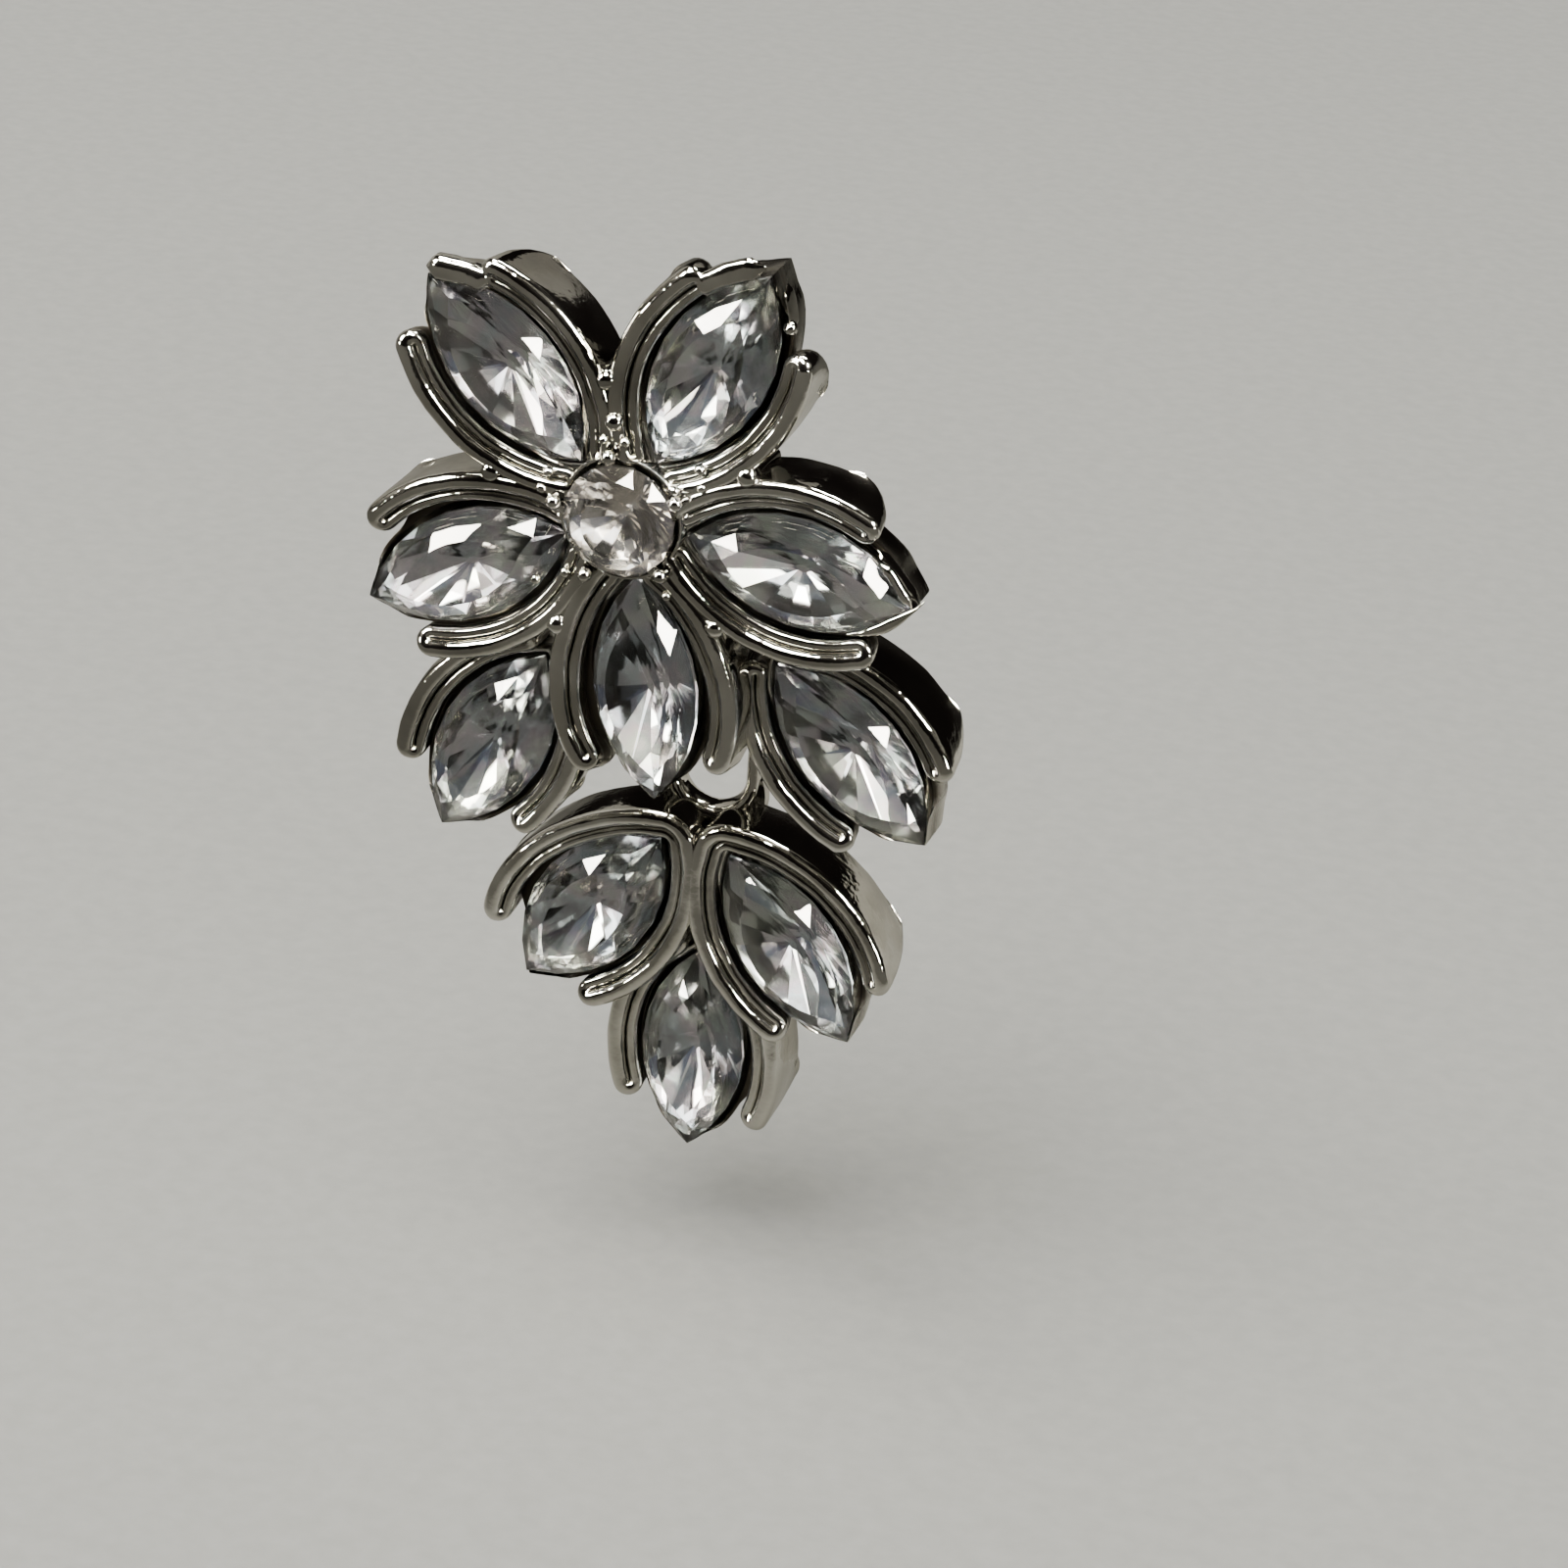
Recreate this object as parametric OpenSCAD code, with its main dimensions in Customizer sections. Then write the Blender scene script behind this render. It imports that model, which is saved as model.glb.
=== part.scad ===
// Floral dangle earring: a flower of marquise stones with a hanging cluster of three more.
// The face looks along -Y, the ear post runs along +Y and Z is up. The origin is the middle of the
// flower's flat back, where the post leaves it. Lengths are in millimetres.

/* [Petal stones] */
// Length of a marquise stone, tip to tip
stone_l = 9.9; // [9.6:0.1:10]
// Width of a marquise stone
stone_w = 4.8; // [4.5:0.1:4.9]
// Height of the crown over the girdle
crown_h = 1.05; // [0.9:0.05:1.2]
// Depth of the pavilion under the girdle
pavilion_h = 1.5; // [1.2:0.05:1.6]

/* [Centre stone] */
// Diameter of the round stone
round_d = 4.9; // [4.6:0.1:5]
// How far its girdle stands in front of the petals' girdles
round_lift = 0.8; // [0.7:0.1:1]

/* [Petal settings] */
// Height of the petals' girdle over the flat back
girdle_h = 2.6; // [2.4:0.1:2.8]
// Dark gap between a stone and its side rails
rail_gap = 0.24; // [0.18:0.02:0.28]
// Width of a side rail
rail_w = 1.4; // [1.3:0.05:1.5]
// Radius of a rail's outer ridge
ridge_r = 0.45; // [0.4:0.01:0.48]
// Radius of a rail's inner lip
lip_r = 0.16; // [0.14:0.01:0.18]
// Angle along the side arc at which a rail ends towards the petal's tip
rail_end = 27; // [22:1:30]

/* [Flower] */
// Distance from the flower's centre to the petal stones' inner tips
flower_r = 2.85; // [2.85:0.05:3]
// Turn of the flower on its post, against plumb
flower_turn = 9.5; // [6:0.5:12]
// Distance to the lower layer's stones' inner tips
mid_r = 9; // [8.9:0.05:9.1]
// How far the lower layer lies behind the flower
mid_back = 1.9; // [1.7:0.1:2]

/* [Drop] */
// Distance from the drop's centre to the side stones' inner tips
side_r = 2.55; // [2.5:0.05:2.65]
// Angle of a side petal from straight down
side_angle = 37.3; // [36.5:0.1:38.5]
// Distance to the tail stone's inner tip
tail_r = 7.65; // [7.6:0.05:7.8]
// How far the tail petal lies behind the side petals
tail_back = 1.2; // [1:0.1:1.4]
// Distance of the drop's centre below the hanging pin
drop_fall = 3.6; // [3.5:0.05:3.7]

/* [Hanging pin] */
// How far below the flower's centre the pin is
pin_fall = 12.05; // [12:0.05:12.2]
// How far to the right of it
pin_side = 2.1; // [2:0.05:2.2]
// Diameter of the pin
pin_d = 0.9; // [0.8:0.05:1]
// Width of the drop's eye
eye_d = 2.9; // [2.8:0.1:3]
// How much longer than wide the eye is
eye_long = 1.4; // [1.3:0.05:1.5]
// Thickness of the eye's plate
eye_t = 1.1; // [0.9:0.1:1.2]

/* [Ear post] */
// Diameter of the post
post_d = 0.8; // [0.7:0.05:0.9]
// Length of the post from the flower's back
post_l = 11; // [10:0.5:12]
// Diameter of the pad it stands on
pad_d = 3; // [2.5:0.1:3.5]

/* [Hidden] */
$fn = 64;
// Small overlap that joins solids which would only touch
join = 0.02;
// Clearance between a stone and the metal round it
seat_gap = 0.1;

// Side arc of a marquise: its radius, how far its centre lies beyond the axis, and its half angle
arc_r = (stone_l * stone_l + stone_w * stone_w) / (4 * stone_w);
arc_c = arc_r - stone_w / 2;
arc_half = asin(stone_l / 2 / arc_r);
mid_ring = arc_r + rail_gap + rail_w / 2;
rail_start = -46;
wrap_start = -57;

// Heights of a rail's ridge, lip and groove against the girdle
ridge_rise = 0.1;
lip_rise = 0.12;
groove_dip = 0.12;

// Rounded caps on the rails' ends, and the wider one where two rails meet
cap_r = rail_w / 2 - 0.04;
wrap_cap_r = rail_w / 2 + 0.05;
cap_h = girdle_h + 0.3;
cap_edge_r = 0.3;

// Tray under each stone
floor_t = 0.55;
rim_h = girdle_h - 0.6;
rim_out = 0.36;
rim_in = 0.36;
girdle_t = 0.25;

// Collet of the round stone
round_r = round_d / 2;
round_z = girdle_h + round_lift;
round_girdle_t = 0.25;
round_crown = 0.85;
round_pavilion = 1.9;
culet_r = 0.25;
collet_r = round_r + 0.28;
collet_h = round_z - round_girdle_t - seat_gap;
prong_r = 0.28;
prong_ring = round_r + 0.42;
prong_angles = [0, 72, 144, 216, 288];

// Solder beads where neighbouring petals' ridges meet
bead_r = 0.5;
bead_ring = 6;
bead_z = girdle_h + ridge_rise;

// Back plate
back_r = 5.2;
back_t = 0.7;

// Heights of the layers' flat backs over the flower's back, towards the viewer
mid_z = -mid_back;
layer_gap = 0.15;
drop_z = mid_z - layer_gap - girdle_h - crown_h;
tail_z = drop_z - tail_back;

// The pin and the eye
pin_foot = 0.4;
pin_gap = 0.12;
hook_l = 1.9;
eye_w = 0.7;
eye_r = eye_d / 2;
eye_z = drop_z;
// Middle of the eye's lower end, over the drop's centre
eye_up = drop_fall - eye_long - eye_r + pin_d / 2 + pin_gap;
hub_r = 2.4;
hook_z = eye_z - pin_gap - pin_d / 2;

// Pad and tip of the ear post
pad_t = 0.5;
post_tip = 0.3;

// Petals' angles, clockwise from straight up as seen from the front
flower_petals = [for (k = [0:4]) 36 + 72 * k];
mid_angles = [144, 216];

// Puts what is drawn flat, with its face up and its head along +Y, upright facing -Y
module upright() rotate([90, 0, 0]) children();

// The flower's frame: turned on its post
module flower_frame() upright() rotate([0, 0, flower_turn]) children();

// The drop's frame: plumb, with its centre at the middle of its own cluster
module drop_frame() upright() translate([pin_side, -pin_fall - drop_fall, 0]) children();

// Turns a petal drawn along +X to an angle clockwise from up, at a distance from the centre
module at_petal(angle, r, z = 0) rotate([0, 0, 90 - angle]) translate([r, 0, z]) children();

// Marquise outline grown by off, from x = 0 to x = stone_l
module marquise(off = 0) intersection_for(side = [-1, 1])
    translate([stone_l / 2, side * arc_c]) circle(r = arc_r + off, $fn = 180);

// Cross-section of a side rail; x is the distance from the side arc's centre
module rail_section() {
    inner = arc_r + rail_gap;
    outer = inner + rail_w;
    ridge_z = girdle_h + ridge_rise;
    lip_z = girdle_h + lip_rise;
    groove_z = girdle_h - groove_dip;
    polygon([[inner, 0], [outer, 0], [outer, ridge_z], [outer - ridge_r, ridge_z + join],
             [outer - 2 * ridge_r, groove_z], [inner + 2 * lip_r, groove_z],
             [inner + lip_r, lip_z], [inner, lip_z]]);
    translate([outer - ridge_r, ridge_z]) circle(r = ridge_r);
    translate([inner + lip_r, lip_z]) circle(r = lip_r);
}

// Blunt rounded end of a rail
module rail_cap(r = cap_r) rotate_extrude() {
    square([r - cap_edge_r, cap_h]);
    square([r, cap_h - cap_edge_r]);
    translate([r - cap_edge_r, cap_h - cap_edge_r]) circle(r = cap_edge_r);
}

// One side rail from angle start with a cap on each of its ends; side is 1 or -1
module rail(side, start, caps) {
    mirror([0, side < 0 ? 1 : 0, 0]) translate([stone_l / 2, -arc_c, 0]) {
        rotate([0, 0, 90 - rail_end])
            rotate_extrude(angle = rail_end - start, $fn = 180) rail_section();
        for (a = caps) rotate([0, 0, 90 - a]) translate([mid_ring, 0, 0]) rail_cap();
    }
}

// Tray under a stone, with a rim all round
module tray() linear_extrude(rim_h) marquise(rim_out);

// What the stone needs free: the well in the tray, and the space over its rim
module well() translate([0, 0, floor_t]) linear_extrude(girdle_h) marquise(-rim_in);

module petal_metal() {
    tray();
    for (side = [-1, 1]) rail(side, rail_start, [rail_start, rail_end]);
}

// Petal whose two rails meet round the stone's inner tip
module wrapped_petal_metal() {
    apex = stone_l / 2 - sqrt(mid_ring * mid_ring - arc_c * arc_c);
    tray();
    for (side = [-1, 1]) rail(side, wrap_start, [rail_end]);
    translate([apex, 0, 0]) rail_cap(wrap_cap_r);
}

// Space kept clear of metal for a petal's stone
module petal_space() {
    well();
    translate([0, 0, rim_h]) linear_extrude(girdle_h) marquise(rail_gap - join);
}

// Point of a marquise ring: t goes round it clockwise, and its length and width are scaled
function marquise_point(t, long, wide, z) =
    let (s = t < 180 ? 1 : -1, f = arc_half * ((t % 180) / 90 - 1))
    [stone_l / 2 + s * arc_r * sin(f) * long, s * (arc_r * cos(f) - arc_c) * wide, z];

function round_point(t, r, z) = [-r * cos(t), r * sin(t), z];

// Closed stone from n-sided rings, lowest first; shifts says which rings are turned by half a step
module cut_stone(points, n, shifts) {
    last = len(shifts) - 1;
    bottom = [for (k = [n - 1:-1:0]) k];
    top = [for (k = [0:n - 1]) last * n + k];
    sides = [for (r = [0:last - 1], k = [0:n - 1])
        let (a = r * n + k, b = r * n + (k + 1) % n, c = a + n, d = b + n)
        each (shifts[r + 1] > shifts[r] ? [[a, b, c], [b, d, c]] : [[a, b, d], [a, d, c]])];
    polyhedron(points, concat([bottom, top], sides));
}

// Marquise stone, with its inner tip at x = 0 and its girdle at girdle_h
module marquise_stone() {
    n = 16;
    // columns: share of the length, share of the width, height, half step
    rings = [[0.08, 0.08, girdle_h - girdle_t - pavilion_h, 0],
             [1, 1, girdle_h - girdle_t, 0],
             [1, 1, girdle_h, 0],
             [0.84, 0.8, girdle_h + crown_h * 0.6, 0.5],
             [0.62, 0.56, girdle_h + crown_h, 0]];
    cut_stone([for (r = rings, k = [0:n - 1]) marquise_point((k + r[3]) * 360 / n, r[0], r[1], r[2])],
              n, [for (r = rings) r[3]]);
}

// Round stone with its girdle at round_z
module round_stone() {
    n = 16;
    // columns: radius, height, half step
    rings = [[culet_r, round_z - round_girdle_t - round_pavilion, 0],
             [round_r, round_z - round_girdle_t, 0],
             [round_r, round_z, 0],
             [round_r * 0.8, round_z + round_crown * 0.65, 0.5],
             [round_r * 0.55, round_z + round_crown, 0]];
    cut_stone([for (r = rings, k = [0:n - 1]) round_point((k + r[2]) * 360 / n, r[0], r[1])],
              n, [for (r = rings) r[2]]);
}

// Space kept clear of metal for the round stone: its cone, and what is over it
module round_space() {
    clear = seat_gap + 0.05;
    culet_z = round_z - round_girdle_t - round_pavilion;
    rotate_extrude() polygon([[0, culet_z - seat_gap], [culet_r + clear, culet_z - seat_gap],
                              [round_r + clear, round_z - round_girdle_t], [round_r + clear, round_z + 2],
                              [0, round_z + 2]]);
}

// Upright rod with a ball on its top, standing between two petals
module beaded_rod(angle, ring, r, ball_z) rotate([0, 0, 90 - angle]) translate([ring, 0, 0]) {
    cylinder(r = r, h = ball_z);
    translate([0, 0, ball_z]) sphere(r = r + join);
}

module collet() {
    cylinder(r = collet_r, h = collet_h);
    for (a = prong_angles) beaded_rod(a, prong_ring, prong_r, round_z + 0.15);
}

// Pin that stands on the lowest petal's back; its end turns up behind the drop's eye
module hanging_pin() translate([pin_side, -pin_fall, hook_z]) {
    cylinder(d = pin_d, h = pin_foot - hook_z);
    rotate([-90, 0, 0]) cylinder(d = pin_d, h = hook_l);
    sphere(d = pin_d + 2 * join);
    translate([0, hook_l, 0]) sphere(d = pin_d + 4 * join);
}

// All of the flower's metal but the pin, before it is turned
module flower_metal() difference() {
    union() {
        difference() {
            union() {
                for (a = flower_petals) at_petal(a, flower_r) petal_metal();
                for (a = mid_angles) at_petal(a, mid_r, mid_z) petal_metal();
                cylinder(r = back_r, h = back_t);
                for (a = prong_angles) beaded_rod(a, bead_ring, bead_r, bead_z);
            }
            for (a = flower_petals) at_petal(a, flower_r) petal_space();
            for (a = mid_angles) at_petal(a, mid_r, mid_z) petal_space();
        }
        collet();
    }
    round_space();
}

module flower_setting() color("silver") {
    flower_frame() flower_metal();
    upright() hanging_pin();
}

// Long round-ended outline of the eye, with half its width as r
module eye_outline(r) {
    circle(r = r);
    translate([0, eye_long]) circle(r = r);
    translate([-r, 0]) square([2 * r, eye_long]);
}

module drop_setting() color("silver") drop_frame() difference() {
    union() {
        for (s = [1, -1])
            at_petal(180 - s * side_angle, side_r, drop_z) wrapped_petal_metal();
        at_petal(180, tail_r, tail_z) petal_metal();
        translate([0, 0, eye_z]) cylinder(r = hub_r, h = floor_t);
        translate([0, eye_up, eye_z]) linear_extrude(eye_t) eye_outline(eye_r + eye_w);
    }
    for (s = [1, -1]) at_petal(180 - s * side_angle, side_r, drop_z) petal_space();
    at_petal(180, tail_r, tail_z) petal_space();
    translate([0, eye_up, eye_z - join]) linear_extrude(2 * girdle_h) eye_outline(eye_r);
}

// Post on its pad, soldered to the middle of the flower's back
module ear_post() color("silver") rotate([-90, 0, 0]) rotate_extrude() {
    pad_top = seat_gap + pad_t;
    polygon([[0, seat_gap], [pad_d / 2, seat_gap], [pad_d / 2, pad_top], [post_d / 2, pad_top],
             [post_d / 2, post_l - post_tip], [post_d / 2 - post_tip / 2, post_l], [0, post_l]]);
}

module stone_colour() color("lightgray") children();

module centre_stone() stone_colour() flower_frame() round_stone();

module petal_stone(k) stone_colour() flower_frame()
    at_petal(flower_petals[k], flower_r) marquise_stone();

module mid_stone(k) stone_colour() flower_frame()
    at_petal(mid_angles[k], mid_r, mid_z) marquise_stone();

module side_stone(s) stone_colour() drop_frame()
    at_petal(180 - s * side_angle, side_r, drop_z) marquise_stone();

module drop_stone_tail() stone_colour() drop_frame()
    at_petal(180, tail_r, tail_z) marquise_stone();

flower_setting();
ear_post();
centre_stone();
petal_stone(0);  // petal_stone_1
petal_stone(1);  // petal_stone_2
petal_stone(2);  // petal_stone_3
petal_stone(3);  // petal_stone_4
petal_stone(4);  // petal_stone_5
mid_stone(0);  // mid_stone_right
mid_stone(1);  // mid_stone_left
drop_setting();
side_stone(1);  // drop_stone_right
side_stone(-1);  // drop_stone_left
drop_stone_tail();
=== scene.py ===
import math
import bpy
import bmesh
from mathutils import Matrix, Vector, noise


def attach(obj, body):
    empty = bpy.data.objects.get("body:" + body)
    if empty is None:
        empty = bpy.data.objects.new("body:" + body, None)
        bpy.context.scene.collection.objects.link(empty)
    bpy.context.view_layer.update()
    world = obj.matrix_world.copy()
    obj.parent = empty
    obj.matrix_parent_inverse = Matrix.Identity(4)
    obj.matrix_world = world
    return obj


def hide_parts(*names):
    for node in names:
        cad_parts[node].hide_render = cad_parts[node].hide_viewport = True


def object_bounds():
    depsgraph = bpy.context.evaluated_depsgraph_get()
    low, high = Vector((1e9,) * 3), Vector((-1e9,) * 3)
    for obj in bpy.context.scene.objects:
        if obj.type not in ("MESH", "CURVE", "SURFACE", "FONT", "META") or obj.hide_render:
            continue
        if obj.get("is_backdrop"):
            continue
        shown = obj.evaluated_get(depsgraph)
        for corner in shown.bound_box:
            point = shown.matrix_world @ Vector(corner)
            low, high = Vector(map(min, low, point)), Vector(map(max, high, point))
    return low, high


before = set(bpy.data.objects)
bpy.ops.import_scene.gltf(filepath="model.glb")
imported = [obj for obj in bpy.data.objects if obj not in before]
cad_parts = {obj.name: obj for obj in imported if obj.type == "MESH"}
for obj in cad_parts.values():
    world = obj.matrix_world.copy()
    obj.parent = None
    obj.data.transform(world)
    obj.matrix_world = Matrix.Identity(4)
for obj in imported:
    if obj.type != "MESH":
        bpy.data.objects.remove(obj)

cadLow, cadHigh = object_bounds()
scene = bpy.context.scene
scene.view_settings.look = "AgX - Medium High Contrast"
mm = 0.001

# everything is drawn flat, face up and head along +Y, in millimetres, then stood upright facing -Y
standUp = Matrix(((mm, 0, 0, 0), (0, 0, -mm, 0), (0, mm, 0, 0), (0, 0, 0, 1)))

layout = {
    "flowerTurn": 9.5,             # degrees, against plumb
    "flowerPetals": (36, 108, 180, 252, 324),   # clockwise from up
    "lowestPetal": 2,              # place of the lowest one among them
    "flowerRadius": 2.85,          # centre to the stones' inner tips
    "midPetals": (144, 216),
    "midRadius": 9.0,
    "midBack": 1.9,                # lower layer behind the flower
    "sideAngle": 37.3,             # drop's side petals from straight down
    "sideRadius": 2.55,
    "tailRadius": 7.65,
    "tailBack": 1.2,
    "dropBack": 5.7,               # drop's flat back behind the flower's
    "dropCentre": (2.1, -15.65),
    "pin": (2.1, -12.05),
}

stoneCut = {
    "length": 9.9,
    "width": 4.8,
    "girdle": 2.6,                 # height of the girdle's upper edge over the flat back
    "girdleThick": 0.25,
    "crown": 1.05,
    "pavilion": 1.5,
    "sides": 16,
    "culet": 0.07,                 # share of the outline left flat at the back
    # columns: share of length, of width, of the crown's height, half steps it is turned
    "crownRows": ((0.84, 0.8, 0.6, 0.5), (0.62, 0.56, 1, 0)),
}
stoneMiddle = stoneCut["length"] / 2
arcRadius = (stoneCut["length"] ** 2 + stoneCut["width"] ** 2) / (4 * stoneCut["width"])
arcBeyond = arcRadius - stoneCut["width"] / 2     # an arc's centre beyond the stone's long axis


def smooth(low, high, value):
    t = min(max((value - low) / (high - low), 0), 1)
    return t * t * (3 - 2 * t)


def turns(start, turn, steps):
    # angles in radians from degrees, both ends included
    return [math.radians(start + turn * k / steps) for k in range(steps + 1)]


def newObject(name, data):
    item = bpy.data.objects.new(name, data)
    scene.collection.objects.link(item)
    return item


def meshFrom(name, points, faces, slots=None):
    mesh = bpy.data.meshes.new(name)
    mesh.from_pydata([tuple(p) for p in points], [], faces)
    mesh.validate()
    if slots:
        mesh.polygons.foreach_set("material_index", slots)
    mesh.update()
    return mesh


def closedMesh(name, points, faces, slots=None):
    # doubles merged and every face outwards
    mesh = meshFrom(name, points, faces, slots)
    work = bmesh.new()
    work.from_mesh(mesh)
    bmesh.ops.remove_doubles(work, verts=work.verts, dist=1e-5)
    bmesh.ops.recalc_face_normals(work, faces=work.faces)
    work.to_mesh(mesh)
    work.free()
    return mesh


def joined(parts):
    points, faces = [], []
    for p, f in parts:
        base = len(points)
        points += p
        faces += [tuple(base + v for v in face) for face in f]
    return points, faces


def ringFaces(rings, count, closed=False):
    # quads between rings of count points, and from the last ring to the first if closed
    faces = []
    for j in range(rings if closed else rings - 1):
        low, high = j * count, (j + 1) % rings * count
        for k in range(count):
            h = (k + 1) % count
            faces.append((low + k, low + h, high + h, high + k))
    return faces


def endCaps(rings, count):
    last = (rings - 1) * count
    return [tuple(reversed(range(count))), tuple(range(last, last + count))]


# camera
cameraSetup = {
    "azimuth": 19.5,
    "elevation": 22.5,
    "roll": 3.0,
    "distance": 200.0,
    "pixelsPerMm": 24.49,          # at the flower's girdle centre
    "framePixels": 1600,
    "girdleCentre": (0, -2.6, 0),
    "aimRight": 6.64,              # from the girdle centre to the picture's middle
    "aimDown": 11.21,
    "sensor": 36,
    "clip": (0.005, 20),           # metres
}


def makeCamera(c):
    a, e, r = (math.radians(c[k]) for k in ("azimuth", "elevation", "roll"))
    back = Vector((math.sin(a) * math.cos(e), -math.cos(a) * math.cos(e), math.sin(e)))
    flatRight = Vector((math.cos(a), math.sin(a), 0))
    flatUp = back.cross(flatRight)
    right = flatRight * math.cos(r) + flatUp * math.sin(r)
    up = flatUp * math.cos(r) - flatRight * math.sin(r)
    middle = Vector(c["girdleCentre"])
    place = middle + back * c["distance"]
    aim = middle + right * c["aimRight"] - up * c["aimDown"]
    z = (place - aim).normalized()
    x = up.cross(z).normalized()
    y = z.cross(x)
    data = bpy.data.cameras.new("photoCamera")
    data.sensor_width = c["sensor"]
    data.lens = c["sensor"] * c["pixelsPerMm"] * c["distance"] / c["framePixels"]
    data.clip_start, data.clip_end = c["clip"]
    item = newObject("photoCamera", data)
    item.matrix_world = Matrix.Translation(place * mm) @ Matrix((x, y, z)).transposed().to_4x4()
    scene.camera = item


makeCamera(cameraSetup)
print("camera ready")


# node helpers; n and l are a tree's nodes and links
def feed(l, node, inputs):
    # inputs: name or number, and the value or the other node's output that it takes
    for key, value in inputs.items():
        socket = node.inputs[key]
        if isinstance(value, bpy.types.NodeSocket):
            l.new(value, socket)
        else:
            socket.default_value = (*value, 1) if socket.type == "RGBA" else value
    return node


def newTree(name, kind, inputs, outputs):
    # inputs and outputs: name, kind of socket and, where it has one, its value
    g = bpy.data.node_groups.new(name, kind)
    for way, rows in (("INPUT", inputs), ("OUTPUT", outputs)):
        for label, socketKind, *value in rows:
            socket = g.interface.new_socket(name=label, in_out=way, socket_type="NodeSocket" + socketKind)
            if value:
                socket.default_value = value[0]
    return g, g.nodes, g.links


def newMaterial(name):
    m = bpy.data.materials.new(name)
    m.use_nodes = True
    n = m.node_tree.nodes
    return m, n, m.node_tree.links, n["Principled BSDF"]


def mathNode(n, l, operation, *values):
    node = n.new("ShaderNodeMath")
    node.operation = operation
    return feed(l, node, dict(enumerate(values))).outputs[0]


def objectNoise(n, l, scale, detail=2):
    place = n.new("ShaderNodeTexCoord").outputs["Object"]
    cloud = feed(l, n.new("ShaderNodeTexNoise"), {"Vector": place, "Scale": scale, "Detail": detail})
    return cloud.outputs["Fac"]


def ramped(n, l, factor, stops):
    ramp = feed(l, n.new("ShaderNodeValToRGB"), {"Fac": factor})
    while len(ramp.color_ramp.elements) < len(stops):
        ramp.color_ramp.elements.new(0.5)
    for element, (place, colour) in zip(ramp.color_ramp.elements, stops):
        element.position = place
        element.color = (*colour, 1)
    return ramp.outputs["Color"]


def mapped(n, l, value, span):
    # span: from low, from high, to low, to high
    names = ("Value", "From Min", "From Max", "To Min", "To Max")
    return feed(l, n.new("ShaderNodeMapRange"), dict(zip(names, (value, *span)))).outputs["Result"]


def mixColour(n, l, factor, first, second):
    # a Mix node's two colours are its inputs 6 and 7, and their mix its output 2
    mix = n.new("ShaderNodeMix")
    mix.data_type = "RGBA"
    return feed(l, mix, {"Factor": factor, 6: first, 7: second}).outputs[2]


def attributeFactor(n, name):
    node = n.new("ShaderNodeAttribute")
    node.attribute_name = name
    return node.outputs["Fac"]


def castWearGroup():
    # plated casting: soft patches of tarnish and a slightly uneven, pitted surface
    g, n, l = newTree("castWear", "ShaderNodeTree", (
        ("patchScale", "Float", 220.0), ("pitScale", "Float", 2400.0), ("pitHeight", "Float", 0.6)),
        (("patches", "Float"), ("height", "Float")))
    inside = n.new("NodeGroupInput")
    patches = objectNoise(n, l, inside.outputs["patchScale"], 4)
    pits = objectNoise(n, l, inside.outputs["pitScale"], 2)
    height = mathNode(n, l, "MULTIPLY_ADD", pits, inside.outputs["pitHeight"], patches)
    feed(l, n.new("NodeGroupOutput"), {"patches": patches, "height": height})
    return g


castWear = castWearGroup()

castSilver = {
    # columns: place in the patches, colour
    "tones": ((0.32, (0.5, 0.495, 0.46)), (0.46, (0.66, 0.65, 0.605)), (0.6, (0.8, 0.795, 0.76))),
    # painted shade: the colour the plating takes in its grooves and gaps
    "crevice": (0.085, 0.077, 0.064),
    "creviceRough": 0.3,           # added to the roughness there
    "roughSpan": (0.35, 0.7, 0.045, 0.12),
    "bump": 0.42,
    "bumpDepth": 0.00007,          # metres
}


def platedMetal(name, c):
    m, n, l, shader = newMaterial(name)
    wear = n.new("ShaderNodeGroup")
    wear.node_tree = castWear
    patches = wear.outputs["patches"]
    # painted shade: the plating is mixed towards the crevice colour where the crevice attribute marks the
    # grooves, the gaps beside the stones and the low outer walls
    crevice = attributeFactor(n, "crevice")
    rough = mapped(n, l, patches, c["roughSpan"])
    raised = feed(l, n.new("ShaderNodeBump"), {
        "Strength": c["bump"], "Distance": c["bumpDepth"], "Height": wear.outputs["height"]})
    feed(l, shader, {
        "Metallic": 1,
        "Base Color": mixColour(n, l, crevice, ramped(n, l, patches, c["tones"]), c["crevice"]),
        "Roughness": mathNode(n, l, "MULTIPLY_ADD", crevice, c["creviceRough"], rough),
        "Normal": raised.outputs["Normal"],
    })
    return m


clearGlass = {
    "ior": 1.52,
    "hazeScale": 500,
    "tones": ((0.3, (0.94, 0.94, 0.94)), (0.7, (0.99, 0.99, 0.98))),
}


def clearStone(name, c):
    m, n, l, shader = newMaterial(name)
    tint = ramped(n, l, objectNoise(n, l, c["hazeScale"]), c["tones"])
    feed(l, shader, {"Transmission Weight": 1, "IOR": c["ior"], "Roughness": 0.0, "Base Color": tint})
    return m


agedFoil = {
    "cloudScale": 420,
    "cloudDetail": 3,
    "roughSpan": (0, 1, 0.03, 0.16),
    "smoky": ((0.3, (0.45, 0.45, 0.46)), (0.44, (0.62, 0.67, 0.69)), (0.52, (0.72, 0.68, 0.71)),
              (0.6, (0.7, 0.75, 0.7)), (0.72, (0.87, 0.86, 0.83))),
    "warm": ((0.3, (0.5, 0.485, 0.465)), (0.5, (0.81, 0.785, 0.745)), (0.72, (0.95, 0.925, 0.885))),
}


def foilBack(name, c, tones):
    # mirror foil behind each pavilion facet, aged to a smoky grey
    m, n, l, shader = newMaterial(name)
    cloud = objectNoise(n, l, c["cloudScale"], c["cloudDetail"])
    feed(l, shader, {
        "Metallic": 1,
        "Base Color": ramped(n, l, cloud, c[tones]),
        "Roughness": mapped(n, l, cloud, c["roughSpan"]),
    })
    return m


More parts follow.
